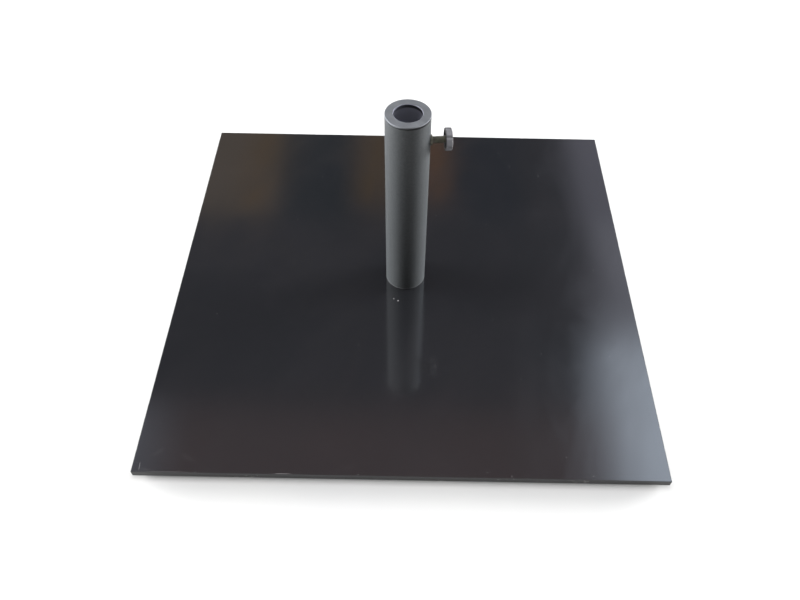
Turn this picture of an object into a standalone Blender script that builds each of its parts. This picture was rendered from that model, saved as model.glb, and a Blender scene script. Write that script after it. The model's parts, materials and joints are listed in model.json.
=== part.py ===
"""A parasol base: a square steel plate on rubber feet, with an upright steel tube in its middle for a
38 mm pole. A plastic sleeve in the tube's mouth and a plastic ring in its foot guide the pole, and a thumb
screw through the tube's wall clamps it.

The origin is the middle of the base on the ground. +Z is up and -Y is the front. The thumb screw points
along +X, turned a little towards the back. Sizes are in metres.
"""

import math

import bmesh
import bpy
from mathutils import Matrix

# Clearance left between neighbouring pieces.
GAP = 0.0003
# Points closer than this are one point.
MERGE_DISTANCE = 0.00001

# Steel plate.
PLATE_SIDE = 0.700
PLATE_THICKNESS = 0.010
PLATE_EDGE_BEVEL = 0.0008

# Rubber feet.
FOOT_DIAMETER = 0.040
FOOT_HEIGHT = 0.003
FOOT_INSET = 0.045
FOOT_EDGE = 0.0008

# Upright tube.
TUBE_DIAMETER = 0.060
TUBE_WALL = 0.003
TUBE_LENGTH = 0.300
TUBE_EDGE = 0.0006

# Disc welded inside the tube's foot.
DISC_THICKNESS = 0.012

# Countersunk socket screws, M8, up through the plate into the disc.
BASE_SCREW_COUNT = 3
BASE_SCREW_CIRCLE = 0.034
BASE_SCREW_DIAMETER = 0.008
BASE_SCREW_LENGTH = 0.020
BASE_SCREW_TIP = 0.0008
HEAD_DIAMETER = 0.016
HEAD_LAND = 0.0004
HEAD_RECESS = 0.0005
SOCKET_FLATS = 0.005
SOCKET_DEPTH = 0.003
PLATE_HOLE_DIAMETER = 0.009

# Pole and the plastic pieces that guide it.
POLE_BORE = 0.038
SLEEVE_WALL = 0.0025
SLEEVE_LENGTH = 0.110
FLANGE_THICKNESS = 0.003
FLANGE_EDGE = 0.0007
RIB_COUNT = 8
RIB_THICKNESS = 0.002
RIB_OVERLAP = 0.001
SLOT_WIDTH = 0.018
GUIDE_HEIGHT = 0.030
GUIDE_FUNNEL = 0.006
GUIDE_EDGE = 0.001

# Thumb screw. Distances are along its axis, from the tube's axis.
SCREW_BELOW_RIM = 0.043
SCREW_TURN = math.radians(6)
THREAD_DIAMETER = 0.010
THREAD_START = 0.024
THREAD_CHAMFER = 0.0008
NOSE_DIAMETER = 0.004
NOSE_START = 0.0215
NOSE_CHAMFER = 0.0003
PAD_DIAMETER = 0.008
PAD_START = 0.020
PAD_CHAMFER = 0.0006
STUD_HEAD_FLATS = 0.015
STUD_HEAD_START = 0.0525
STUD_HEAD_LENGTH = 0.0042

# Threaded insert in the tube's wall.
INSERT_START = 0.020
INSERT_BODY_DIAMETER = 0.013
INSERT_FLANGE_DIAMETER = 0.0145
INSERT_FLANGE_END = 0.0322
INSERT_EDGE = 0.0004
BULGE_DIAMETER = 0.0165
BULGE_START = 0.0215
BULGE_FULL = 0.0230
BULGE_BACK = 0.0252
BULGE_END = 0.0258

# Knob.
KNOB_DIAMETER = 0.030
KNOB_START = 0.049
KNOB_THICKNESS = 0.0092
KNOB_LOBES = 6
KNOB_LOBE_TURN = math.radians(15)
KNOB_GROOVE_DEPTH = 0.0018
KNOB_GROOVE_SHARPNESS = 8
KNOB_NEAR_EDGE = 0.0008
KNOB_FAR_EDGE = 0.0025
KNOB_DISH_INSET = 0.005
KNOB_DISH_DEPTH = 0.0004
KNOB_HOLLOW_DIAMETER = 0.0236
KNOB_HOLLOW_DEPTH = 0.0024

# Flat sides on one turn of a round piece.
TUBE_SIDES = 48
SMALL_SIDES = 32
TINY_SIDES = 24
POINTS_PER_LOBE = 12
SLOT_ARC_STEPS = 12
KNOB_EDGE_STEPS = 3

# Heights above the ground, from the bottom up.
PLATE_BOTTOM = FOOT_HEIGHT + GAP
PLATE_TOP = PLATE_BOTTOM + PLATE_THICKNESS
TUBE_BOTTOM = PLATE_TOP + GAP
TUBE_TOP = TUBE_BOTTOM + TUBE_LENGTH
DISC_TOP = TUBE_BOTTOM + DISC_THICKNESS
GUIDE_BOTTOM = DISC_TOP + GAP
FLANGE_BOTTOM = TUBE_TOP + GAP
RIM = FLANGE_BOTTOM + FLANGE_THICKNESS
SCREW_HEIGHT = RIM - SCREW_BELOW_RIM

# Radii that several pieces share.
TUBE_RADIUS = TUBE_DIAMETER / 2
TUBE_INNER_RADIUS = TUBE_RADIUS - TUBE_WALL
INNER_FIT_RADIUS = TUBE_INNER_RADIUS - GAP
BORE_RADIUS = POLE_BORE / 2
THREAD_RADIUS = THREAD_DIAMETER / 2
NOSE_RADIUS = NOSE_DIAMETER / 2

MATERIALS = {
    # name: colour, roughness, metallic
    "black_enamel": ((0.012, 0.012, 0.015), 0.12, 0.0),
    "tube_coating": ((0.040, 0.042, 0.045), 0.45, 0.0),
    "sleeve_plastic": ((0.140, 0.144, 0.162), 0.50, 0.0),
    "knob_plastic": ((0.190, 0.190, 0.205), 0.45, 0.0),
    "dark_zinc": ((0.080, 0.078, 0.065), 0.40, 0.9),
    "zinc_steel": ((0.550, 0.560, 0.570), 0.35, 1.0),
    "raw_steel": ((0.300, 0.300, 0.310), 0.45, 1.0),
    "nylon": ((0.600, 0.600, 0.560), 0.55, 0.0),
    "foot_rubber": ((0.020, 0.020, 0.020), 0.80, 0.0),
}


def clear_scene():
    for old in list(bpy.data.objects):
        bpy.data.objects.remove(old, do_unlink=True)


def material(name):
    """The Principled material of this name, made on first use."""
    if name in bpy.data.materials:
        return bpy.data.materials[name]
    made = bpy.data.materials.new(name)
    made.use_nodes = True
    shader = made.node_tree.nodes["Principled BSDF"]
    colour, roughness, metallic = MATERIALS[name]
    shader.inputs["Base Color"].default_value = (*colour, 1.0)
    shader.inputs["Roughness"].default_value = roughness
    shader.inputs["Metallic"].default_value = metallic
    return made


def mesh_object(name, bm, material_name=None):
    """An object in the scene that holds this bmesh, smooth apart from its sharp edges."""
    bmesh.ops.recalc_face_normals(bm, faces=bm.faces)
    mesh = bpy.data.meshes.new(name)
    bm.to_mesh(mesh)
    bm.free()
    mesh.shade_smooth()
    mesh.set_sharp_from_angle(angle=math.radians(30))
    if material_name:
        mesh.materials.append(material(material_name))
    obj = bpy.data.objects.new(name, mesh)
    bpy.context.scene.collection.objects.link(obj)
    return obj


def turned(outline, sides):
    """A solid turned about Z from (radius, height) points. The outline closes on itself, or starts and
    ends on the axis with a flat end, which becomes one round face."""
    bm = bmesh.new()
    points = [bm.verts.new((radius, 0.0, height)) for radius, height in outline]
    edges = [bm.edges.new(pair) for pair in zip(points, points[1:])]
    if outline[0][0] > 0:
        edges.append(bm.edges.new((points[-1], points[0])))
    bmesh.ops.spin(
        bm,
        geom=points + edges,
        cent=(0, 0, 0),
        axis=(0, 0, 1),
        angle=math.tau,
        steps=sides,
        use_merge=True,
    )
    bmesh.ops.remove_doubles(bm, verts=bm.verts, dist=MERGE_DISTANCE)
    centres = [point for point in bm.verts if point.co.xy.length < MERGE_DISTANCE]
    bmesh.ops.dissolve_verts(bm, verts=centres)
    return bm


def prism(outline, low, high):
    """A solid extruded along Z from a flat outline of (x, y) points."""
    bm = bmesh.new()
    face = bm.faces.new([bm.verts.new((x, y, low)) for x, y in outline])
    raised = bmesh.ops.extrude_face_region(bm, geom=[face])["geom"]
    corners = [item for item in raised if isinstance(item, bmesh.types.BMVert)]
    bmesh.ops.translate(bm, verts=corners, vec=(0, 0, high - low))
    return bm


def hexagon(flats):
    """The corners of a hexagon of this size across its flats."""
    radius = flats / 2 / math.cos(math.pi / 6)
    corners = [math.tau * i / 6 for i in range(6)]
    return [(radius * math.cos(a), radius * math.sin(a)) for a in corners]


def bevel(obj, width):
    modifier = obj.modifiers.new("edges", "BEVEL")
    modifier.width = width
    modifier.segments = 1
    modifier.limit_method = "ANGLE"
    modifier.angle_limit = math.radians(40)


def helper(name, bm, parent=None):
    """An object that only cuts or joins, and is never shown."""
    obj = mesh_object(name, bm)
    obj.hide_render = True
    obj.display_type = "WIRE"
    obj.parent = parent
    return obj


def combine(obj, other, operation):
    modifier = obj.modifiers.new(other.name, "BOOLEAN")
    modifier.operation = operation
    modifier.solver = "EXACT"
    modifier.object = other


def base_screw_places():
    """The centre (x, y) of each base screw. The first is at the back."""
    turns = [math.tau * (1 / 4 + i / BASE_SCREW_COUNT) for i in range(BASE_SCREW_COUNT)]
    radius = BASE_SCREW_CIRCLE / 2
    return [(radius * math.cos(a), radius * math.sin(a)) for a in turns]


def countersink():
    """A cutter for one base screw's hole, with the clearance all round its head."""
    land_radius = HEAD_DIAMETER / 2 + GAP
    hole_radius = PLATE_HOLE_DIAMETER / 2
    cone_radius = HEAD_DIAMETER / 2 + GAP * math.sqrt(2)
    land_top = HEAD_RECESS + HEAD_LAND + cone_radius - land_radius
    cone_top = HEAD_RECESS + HEAD_LAND + cone_radius - hole_radius
    outline = [
        (0, -PLATE_THICKNESS),
        (land_radius, -PLATE_THICKNESS),
        (land_radius, land_top),
        (hole_radius, cone_top),
        (hole_radius, 2 * PLATE_THICKNESS),
        (0, 2 * PLATE_THICKNESS),
    ]
    return turned(outline, TINY_SIDES)


def base_plate():
    half = PLATE_SIDE / 2
    corners = [(-half, -half), (half, -half), (half, half), (-half, half)]
    plate = mesh_object(
        "base_plate", prism(corners, PLATE_BOTTOM, PLATE_TOP), "black_enamel"
    )
    bevel(plate, PLATE_EDGE_BEVEL)
    for number, (x, y) in enumerate(base_screw_places(), 1):
        cutter = helper(f"countersink_{number}", countersink())
        cutter.location = (x, y, PLATE_BOTTOM)
        combine(plate, cutter, "DIFFERENCE")


def feet():
    radius = FOOT_DIAMETER / 2
    outline = [
        (0, 0),
        (radius - FOOT_EDGE, 0),
        (radius, FOOT_EDGE),
        (radius, FOOT_HEIGHT - FOOT_EDGE),
        (radius - FOOT_EDGE, FOOT_HEIGHT),
        (0, FOOT_HEIGHT),
    ]
    reach = PLATE_SIDE / 2 - FOOT_INSET
    for depth, y in (("front", -reach), ("back", reach)):
        for side, x in (("left", -reach), ("right", reach)):
            foot = mesh_object(
                f"foot_{depth}_{side}", turned(outline, SMALL_SIDES), "foot_rubber"
            )
            foot.location = (x, y, 0)


def stem_tube(screw_axis):
    outline = [
        (TUBE_INNER_RADIUS, TUBE_BOTTOM),
        (TUBE_RADIUS, TUBE_BOTTOM),
        (TUBE_RADIUS, TUBE_TOP),
        (TUBE_INNER_RADIUS, TUBE_TOP),
    ]
    tube = mesh_object("stem_tube", turned(outline, TUBE_SIDES), "tube_coating")
    bevel(tube, TUBE_EDGE)
    hole_radius = INSERT_BODY_DIAMETER / 2 + GAP
    hole = [
        (0, BORE_RADIUS),
        (hole_radius, BORE_RADIUS),
        (hole_radius, KNOB_START),
        (0, KNOB_START),
    ]
    cutter = helper("insert_hole", turned(hole, SMALL_SIDES), screw_axis)
    combine(tube, cutter, "DIFFERENCE")


def stem_end_disc():
    outline = [
        (0, TUBE_BOTTOM),
        (INNER_FIT_RADIUS, TUBE_BOTTOM),
        (INNER_FIT_RADIUS, DISC_TOP),
        (0, DISC_TOP),
    ]
    disc = mesh_object("stem_end_disc", turned(outline, TUBE_SIDES), "raw_steel")
    bevel(disc, TUBE_EDGE)
    hole_radius = BASE_SCREW_DIAMETER / 2 + GAP
    hole = [
        (0, PLATE_BOTTOM),
        (hole_radius, PLATE_BOTTOM),
        (hole_radius, DISC_TOP + DISC_THICKNESS),
        (0, DISC_TOP + DISC_THICKNESS),
    ]
    for number, (x, y) in enumerate(base_screw_places(), 1):
        cutter = helper(f"tapped_hole_{number}", turned(hole, TINY_SIDES))
        cutter.location = (x, y, 0)
        combine(disc, cutter, "DIFFERENCE")


def base_screws():
    """Countersunk screws, heads down. Height 0 is the head's flat face."""
    head_radius = HEAD_DIAMETER / 2
    shank_radius = BASE_SCREW_DIAMETER / 2
    head_height = HEAD_LAND + head_radius - shank_radius
    outline = [
        (0, 0),
        (head_radius, 0),
        (head_radius, HEAD_LAND),
        (shank_radius, head_height),
        (shank_radius, BASE_SCREW_LENGTH - BASE_SCREW_TIP),
        (shank_radius - BASE_SCREW_TIP, BASE_SCREW_LENGTH),
        (0, BASE_SCREW_LENGTH),
    ]
    for number, (x, y) in enumerate(base_screw_places(), 1):
        place = (x, y, PLATE_BOTTOM + HEAD_RECESS)
        screw = mesh_object(
            f"base_screw_{number}", turned(outline, TINY_SIDES), "zinc_steel"
        )
        screw.location = place
        cutter = helper(
            f"hex_socket_{number}",
            prism(hexagon(SOCKET_FLATS), -SOCKET_DEPTH, SOCKET_DEPTH),
        )
        cutter.location = place
        combine(screw, cutter, "DIFFERENCE")


def lower_pole_guide():
    """A plastic ring on the end disc, with a funnel at its top that leads the pole's foot in."""
    top = GUIDE_BOTTOM + GUIDE_HEIGHT
    outline = [
        (BORE_RADIUS, GUIDE_BOTTOM),
        (INNER_FIT_RADIUS - GUIDE_EDGE, GUIDE_BOTTOM),
        (INNER_FIT_RADIUS, GUIDE_BOTTOM + GUIDE_EDGE),
        (INNER_FIT_RADIUS, top - GUIDE_EDGE),
        (BORE_RADIUS + GUIDE_FUNNEL, top),
        (BORE_RADIUS, top - GUIDE_FUNNEL),
    ]
    mesh_object("lower_pole_guide", turned(outline, TUBE_SIDES), "sleeve_plastic")


def rib_star():
    """The sleeve's ribs, as separate bars round the Z axis."""
    bm = bmesh.new()
    low = FLANGE_BOTTOM - SLEEVE_LENGTH
    high = FLANGE_BOTTOM + RIB_OVERLAP
    inner = BORE_RADIUS + RIB_OVERLAP
    length = INNER_FIT_RADIUS - inner
    for i in range(RIB_COUNT):
        bar = bmesh.ops.create_cube(bm, size=1.0)["verts"]
        bmesh.ops.scale(bm, verts=bar, vec=(length, RIB_THICKNESS, high - low))
        bmesh.ops.translate(
            bm, verts=bar, vec=(inner + length / 2, 0, (low + high) / 2)
        )
        turn = Matrix.Rotation(math.tau * (i + 0.5) / RIB_COUNT, 3, "Z")
        bmesh.ops.rotate(bm, verts=bar, cent=(0, 0, 0), matrix=turn)
    return bm


def slot_outline():
    """A slot with a round top about the screw and an open lower end, in the screw's frame, where +X is
    down."""
    radius = SLOT_WIDTH / 2
    low_end = SLEEVE_LENGTH
    turns = [
        math.pi / 2 + math.pi * i / SLOT_ARC_STEPS for i in range(SLOT_ARC_STEPS + 1)
    ]
    arc = [(radius * math.cos(a), radius * math.sin(a)) for a in turns]
    return arc + [(low_end, -radius), (low_end, radius)]


def reducer_sleeve(screw_axis):
    """A ribbed plastic sleeve with a flange on the tube's end. Its slot lets it lift out past the screw."""
    barrel_radius = BORE_RADIUS + SLEEVE_WALL
    bottom = FLANGE_BOTTOM - SLEEVE_LENGTH
    outline = [
        (BORE_RADIUS, bottom),
        (barrel_radius, bottom),
        (barrel_radius, FLANGE_BOTTOM),
        (TUBE_RADIUS, FLANGE_BOTTOM),
        (TUBE_RADIUS, RIM),
        (BORE_RADIUS, RIM),
    ]
    sleeve = mesh_object(
        "reducer_sleeve", turned(outline, TUBE_SIDES), "sleeve_plastic"
    )
    bevel(sleeve, FLANGE_EDGE)
    sleeve.rotation_euler.z = SCREW_TURN
    ribs = helper("sleeve_ribs", rib_star())
    ribs.rotation_euler.z = SCREW_TURN
    slot = helper(
        "sleeve_slot", prism(slot_outline(), THREAD_RADIUS, TUBE_RADIUS), screw_axis
    )
    combine(sleeve, ribs, "UNION")
    combine(sleeve, slot, "DIFFERENCE")


def screw_insert(screw_axis):
    """A blind-rivet nut: a flange outside the tube's wall, a body through it and a bulge behind it."""
    bore = THREAD_RADIUS + GAP
    body = INSERT_BODY_DIAMETER / 2
    bulge = BULGE_DIAMETER / 2
    flange = INSERT_FLANGE_DIAMETER / 2
    outline = [
        (bore, INSERT_START),
        (body, INSERT_START),
        (body, BULGE_START),
        (bulge, BULGE_FULL),
        (bulge, BULGE_BACK),
        (body, BULGE_END),
        (body, TUBE_RADIUS + GAP),
        (flange, TUBE_RADIUS + GAP),
        (flange, INSERT_FLANGE_END - INSERT_EDGE),
        (flange - INSERT_EDGE, INSERT_FLANGE_END),
        (bore + INSERT_EDGE, INSERT_FLANGE_END),
        (bore, INSERT_FLANGE_END - INSERT_EDGE),
    ]
    insert = mesh_object("screw_insert", turned(outline, SMALL_SIDES), "dark_zinc")
    insert.parent = screw_axis


def clamp_screw(screw_axis):
    """The stud: a nose for the pad, the threaded length and a hexagon head that the knob holds."""
    head_end = STUD_HEAD_START + STUD_HEAD_LENGTH
    head_middle = (STUD_HEAD_START + head_end) / 2
    outline = [
        (0, NOSE_START),
        (NOSE_RADIUS - NOSE_CHAMFER, NOSE_START),
        (NOSE_RADIUS, NOSE_START + NOSE_CHAMFER),
        (NOSE_RADIUS, THREAD_START),
        (THREAD_RADIUS - THREAD_CHAMFER, THREAD_START),
        (THREAD_RADIUS, THREAD_START + THREAD_CHAMFER),
        (THREAD_RADIUS, head_middle),
        (0, head_middle),
    ]
    stud = mesh_object("clamp_screw", turned(outline, SMALL_SIDES), "dark_zinc")
    stud.parent = screw_axis
    head = helper(
        "stud_head",
        prism(hexagon(STUD_HEAD_FLATS), STUD_HEAD_START, head_end),
        screw_axis,
    )
    combine(stud, head, "UNION")


def thrust_pad(screw_axis):
    """A nylon cap on the stud's nose."""
    radius = PAD_DIAMETER / 2
    hole_radius = NOSE_RADIUS + GAP
    hole_end = NOSE_START - GAP
    open_end = THREAD_START - GAP
    outline = [
        (0, PAD_START),
        (radius - PAD_CHAMFER, PAD_START),
        (radius, PAD_START + PAD_CHAMFER),
        (radius, open_end),
        (hole_radius, open_end),
        (hole_radius, hole_end),
        (0, hole_end),
    ]
    pad = mesh_object("thrust_pad", turned(outline, TINY_SIDES), "nylon")
    pad.parent = screw_axis


def knob_radius(angle):
    """The knob's outline: a circle with narrow grooves between its lobes."""
    wave = 0.5 - 0.5 * math.cos(KNOB_LOBES * (angle - KNOB_LOBE_TURN))
    return KNOB_DIAMETER / 2 - KNOB_GROOVE_DEPTH * wave**KNOB_GROOVE_SHARPNESS


def knob_rings():
    """(inset, distance) of each ring of the knob, from its near face round its edges to its far face."""
    far = KNOB_START + KNOB_THICKNESS
    rings = [
        (KNOB_NEAR_EDGE, KNOB_START),
        (0, KNOB_START + KNOB_NEAR_EDGE),
    ]
    for i in range(KNOB_EDGE_STEPS + 1):
        turn = math.pi / 2 * i / KNOB_EDGE_STEPS
        inset = KNOB_FAR_EDGE * (1 - math.cos(turn))
        rings.append((inset, far - KNOB_FAR_EDGE * (1 - math.sin(turn))))
    rings.append((KNOB_DISH_INSET, far - KNOB_DISH_DEPTH))
    return rings


def knob_body():
    """The knob without its pocket, as rings of points joined one to the next and closed at both ends."""
    bm = bmesh.new()
    count = KNOB_LOBES * POINTS_PER_LOBE
    turns = [math.tau * i / count for i in range(count)]
    loops = []
    for inset, distance in knob_rings():
        radii = [knob_radius(a) - inset for a in turns]
        loop = [
            bm.verts.new((r * math.cos(a), r * math.sin(a), distance))
            for r, a in zip(radii, turns)
        ]
        loops.append(loop)
    for lower, upper in zip(loops, loops[1:]):
        for i in range(count):
            j = (i + 1) % count
            bm.faces.new((lower[i], lower[j], upper[j], upper[i]))
    bm.faces.new(reversed(loops[0]))
    bm.faces.new(loops[-1])
    return bm


def screw_knob(screw_axis):
    """The knob, moulded round the stud's hexagon head, with a hollow in its near face."""
    knob = mesh_object("screw_knob", knob_body(), "knob_plastic")
    knob.parent = screw_axis
    hole_radius = THREAD_RADIUS + GAP
    hollow_radius = KNOB_HOLLOW_DIAMETER / 2
    hollow_end = KNOB_START + KNOB_HOLLOW_DEPTH
    head_end = STUD_HEAD_START + STUD_HEAD_LENGTH
    head_middle = (STUD_HEAD_START + head_end) / 2
    hole = [
        (0, INSERT_FLANGE_END),
        (hollow_radius, INSERT_FLANGE_END),
        (hollow_radius, hollow_end),
        (hole_radius, hollow_end),
        (hole_radius, head_middle),
        (0, head_middle),
    ]
    shank_cutter = helper("knob_shank_hole", turned(hole, SMALL_SIDES), screw_axis)
    pocket_cutter = helper(
        "knob_head_pocket",
        prism(
            hexagon(STUD_HEAD_FLATS + 2 * GAP), STUD_HEAD_START - GAP, head_end + GAP
        ),
        screw_axis,
    )
    combine(knob, pocket_cutter, "DIFFERENCE")
    combine(knob, shank_cutter, "DIFFERENCE")


def screw_axis_empty():
    """The thumb screw's axis: its Z runs outwards from the tube's axis and its X runs down."""
    axis = bpy.data.objects.new("screw_axis", None)
    bpy.context.scene.collection.objects.link(axis)
    axis.location = (0, 0, SCREW_HEIGHT)
    axis.rotation_euler = (0, math.pi / 2, SCREW_TURN)
    return axis


def main():
    clear_scene()
    base_plate()
    feet()
    screw_axis = screw_axis_empty()
    stem_tube(screw_axis)
    stem_end_disc()
    base_screws()
    lower_pole_guide()
    reducer_sleeve(screw_axis)
    screw_insert(screw_axis)
    clamp_screw(screw_axis)
    thrust_pad(screw_axis)
    screw_knob(screw_axis)


main()
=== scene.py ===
import json
import math

import bmesh
import bpy
import numpy as np
from mathutils import Matrix, Vector


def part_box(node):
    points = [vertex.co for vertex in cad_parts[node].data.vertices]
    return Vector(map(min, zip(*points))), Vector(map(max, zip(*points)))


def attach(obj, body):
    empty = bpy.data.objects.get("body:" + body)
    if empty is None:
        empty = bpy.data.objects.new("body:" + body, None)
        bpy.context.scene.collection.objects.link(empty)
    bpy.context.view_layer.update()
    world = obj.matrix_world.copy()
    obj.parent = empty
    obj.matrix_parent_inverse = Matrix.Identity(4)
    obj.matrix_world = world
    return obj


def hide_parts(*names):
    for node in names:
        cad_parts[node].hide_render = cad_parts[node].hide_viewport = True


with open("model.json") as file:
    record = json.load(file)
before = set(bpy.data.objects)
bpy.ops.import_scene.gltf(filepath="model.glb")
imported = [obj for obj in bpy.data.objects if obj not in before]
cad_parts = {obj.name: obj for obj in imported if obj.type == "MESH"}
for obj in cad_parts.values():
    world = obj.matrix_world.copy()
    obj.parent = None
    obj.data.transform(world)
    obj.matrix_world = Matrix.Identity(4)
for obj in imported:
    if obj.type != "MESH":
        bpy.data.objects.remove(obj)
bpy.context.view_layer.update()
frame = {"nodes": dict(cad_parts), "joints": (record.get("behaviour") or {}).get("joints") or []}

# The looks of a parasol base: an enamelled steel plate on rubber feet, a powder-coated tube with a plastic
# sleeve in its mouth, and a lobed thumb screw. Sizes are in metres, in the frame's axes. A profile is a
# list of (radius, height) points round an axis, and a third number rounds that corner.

GAP = 0.0003
TAU = math.tau

# Flat sides on one turn of a round piece, and steps in a rounded corner.
FINE_SIDES = 192
SMALL_SIDES = 72
CORNER_STEPS = 5
SHARP_ANGLE = math.radians(32)
FLAT_WEIGHT = 80
WELD_DISTANCE = 1e-6

# Radii of small rounded edges, and where a turned solid's capped ends begin.
CRISP = 0.0002
NEAT = 0.0003
PLAIN = 0.0004
SOFT = 0.0005
ROUND = 0.0006
FULL = 0.0008
CAP = 0.002
SMALL_CAP = 0.0005


# ---- measures taken from the frame

def points_of(node):
    """A CAD node's vertices, as an array."""
    return np.array([v.co for v in frame["nodes"][node].data.vertices], float)


def radii_of(node):
    """The least and greatest distance of a node's vertices from the upright axis."""
    distance = np.hypot(*points_of(node)[:, :2].T)
    return distance.min(), distance.max()


def upright_at(node):
    """The place of a node's upright middle line."""
    low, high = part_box(node)
    middle = (low + high) / 2
    return Matrix.Translation((middle.x, middle.y, 0))


PLATE_LOW, PLATE_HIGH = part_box("base_plate")
TUBE_LOW, TUBE_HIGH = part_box("stem_tube")
DISC_LOW, DISC_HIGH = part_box("stem_end_disc")
GUIDE_LOW, GUIDE_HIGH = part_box("lower_pole_guide")
SLEEVE_LOW, SLEEVE_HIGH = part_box("reducer_sleeve")
TUBE_INNER, TUBE_OUTER = radii_of("stem_tube")
BORE = radii_of("lower_pole_guide")[0]
INNER_FIT = TUBE_INNER - GAP
PLATE_HALF = PLATE_HIGH.x
BASE_SCREWS = ("base_screw_1", "base_screw_2", "base_screw_3")
FEET = ("foot_front_left", "foot_front_right", "foot_back_left", "foot_back_right")

KNOB_TURN = next(j for j in frame["joints"] if j["name"] == "knob_turn")
SCREW_PLACE = Vector(KNOB_TURN["pos_m"])
SCREW_AXIS = Vector(KNOB_TURN["axis"]).normalized()
SCREW_TURN = math.atan2(SCREW_AXIS.y, SCREW_AXIS.x)
# The thumb screw's own axes: its Z runs outwards and its X runs down.
SCREW_FRAME = (
    Matrix.Translation(SCREW_PLACE)
    @ Matrix.Rotation(SCREW_TURN, 4, "Z")
    @ Matrix.Rotation(math.pi / 2, 4, "Y")
)


def reach(node):
    """(nearest, farthest, greatest radius) of a node's vertices along and round the thumb screw's axis."""
    offsets = points_of(node) - np.array(SCREW_PLACE)
    along = offsets @ np.array(SCREW_AXIS)
    across = np.linalg.norm(offsets - np.outer(along, SCREW_AXIS), axis=1)
    return along.min(), along.max(), across.max()


# ---- mesh tools

def show(name, data):
    """A new object in the scene."""
    obj = bpy.data.objects.new(name, data)
    bpy.context.scene.collection.objects.link(obj)
    return obj


def finish_mesh(mesh, material):
    """Smooth shading apart from the sharp edges, in one material."""
    mesh.materials.clear()
    mesh.materials.append(material)
    mesh.shade_smooth()
    mesh.set_sharp_from_angle(angle=SHARP_ANGLE)


def piece(name, bm, material, place=None):
    """A shown piece made from this bmesh."""
    bmesh.ops.recalc_face_normals(bm, faces=bm.faces)
    mesh = bpy.data.meshes.new(name)
    bm.to_mesh(mesh)
    bm.free()
    finish_mesh(mesh, material)
    obj = show(name, mesh)
    if place is not None:
        obj.matrix_world = place
    bpy.context.view_layer.update()
    return obj


def cut(obj, bm, place, operation="DIFFERENCE"):
    """Cuts this bmesh's solid out of obj, or joins it on, and leaves one plain mesh."""
    material = obj.data.materials[0]
    cutter = piece("cutter", bm, material, place)
    boolean = obj.modifiers.new("cut", "BOOLEAN")
    boolean.operation = operation
    boolean.solver = "EXACT"
    boolean.object = cutter
    bpy.context.view_layer.update()
    shaped = obj.evaluated_get(bpy.context.evaluated_depsgraph_get())
    result = bpy.data.meshes.new_from_object(shaped)
    obj.modifiers.clear()
    old, spent = obj.data, cutter.data
    obj.data = result
    bpy.data.objects.remove(cutter)
    bpy.data.meshes.remove(old)
    bpy.data.meshes.remove(spent)
    result.name = obj.name
    finish_mesh(result, material)


def stand_for(obj, body, slot, *nodes):
    """Rides on the body and hides the CAD nodes it stands for; slot is not used. The weighted normals shade
    a flat face flat up to its rounded edges."""
    weighted = obj.modifiers.new("flat_faces", "WEIGHTED_NORMAL")
    weighted.keep_sharp = True
    weighted.weight = FLAT_WEIGHT
    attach(obj, body)
    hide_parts(*nodes)


def arc_corner(before, corner, after, radius):
    """Points that round one corner of a profile."""
    corner = Vector(corner)
    to_before = (Vector(before) - corner).normalized()
    to_after = (Vector(after) - corner).normalized()
    half = to_before.angle(to_after) / 2
    start = corner + to_before * radius / math.tan(half)
    centre = corner + (to_before + to_after).normalized() * radius / math.sin(half)
    spoke = start - centre
    turning = to_before.x * to_after.y - to_before.y * to_after.x
    sweep = math.copysign(math.pi - 2 * half, -turning)
    made = []
    for i in range(CORNER_STEPS + 1):
        c, s = math.cos(sweep * i / CORNER_STEPS), math.sin(sweep * i / CORNER_STEPS)
        made.append((centre.x + c * spoke.x - s * spoke.y, centre.y + s * spoke.x + c * spoke.y))
    return made


def rounded(profile, closed=True):
    """The profile with each corner rounded by its third number."""
    corners = [(p[0], p[1]) for p in profile]
    made = []
    for i, point in enumerate(profile):
        at_end = not closed and i in (0, len(profile) - 1)
        if len(point) > 2 and not at_end:
            following = corners[(i + 1) % len(corners)]
            made += arc_corner(corners[i - 1], corners[i], following, point[2])
        else:
            made.append(corners[i])
    return made


def join_rings(bm, rings):
    """Faces between rings of points, one to the next."""
    for lower, upper in zip(rings, rings[1:]):
        count = len(lower)
        for i in range(count):
            j = (i + 1) % count
            bm.faces.new((lower[i], lower[j], upper[j], upper[i]))


def close_rings(bm, rings, closed):
    """Joins the last ring to the first, or caps both ends."""
    if closed:
        join_rings(bm, [rings[-1], rings[0]])
    else:
        bm.faces.new(reversed(rings[0]))
        bm.faces.new(rings[-1])


def ring(bm, radius, height, sides):
    turns = [TAU * i / sides for i in range(sides)]
    return [bm.verts.new((radius * math.cos(a), radius * math.sin(a), height)) for a in turns]


def turned(profile, sides=FINE_SIDES, closed=True):
    """A solid turned about Z from a profile, which closes on itself or ends in two flat caps."""
    bm = bmesh.new()
    rings = [ring(bm, radius, height, sides) for radius, height in rounded(profile, closed)]
    join_rings(bm, rings)
    close_rings(bm, rings, closed)
    return bm


def capped(profile, sides=SMALL_SIDES):
    """A solid turned about Z from a profile that ends in two flat caps."""
    return turned(profile, sides, closed=False)


def prism(outline, low, high):
    """A solid extruded along Z from an outline of (x, y) points."""
    bm = bmesh.new()
    rings = [[bm.verts.new((x, y, z)) for x, y in outline] for z in (low, high)]
    join_rings(bm, rings)
    close_rings(bm, rings, closed=False)
    return bm


def hexagon(flats):
    radius = flats / 2 / math.cos(math.pi / 6)
    return [(radius * math.cos(TAU * i / 6), radius * math.sin(TAU * i / 6)) for i in range(6)]


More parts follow.
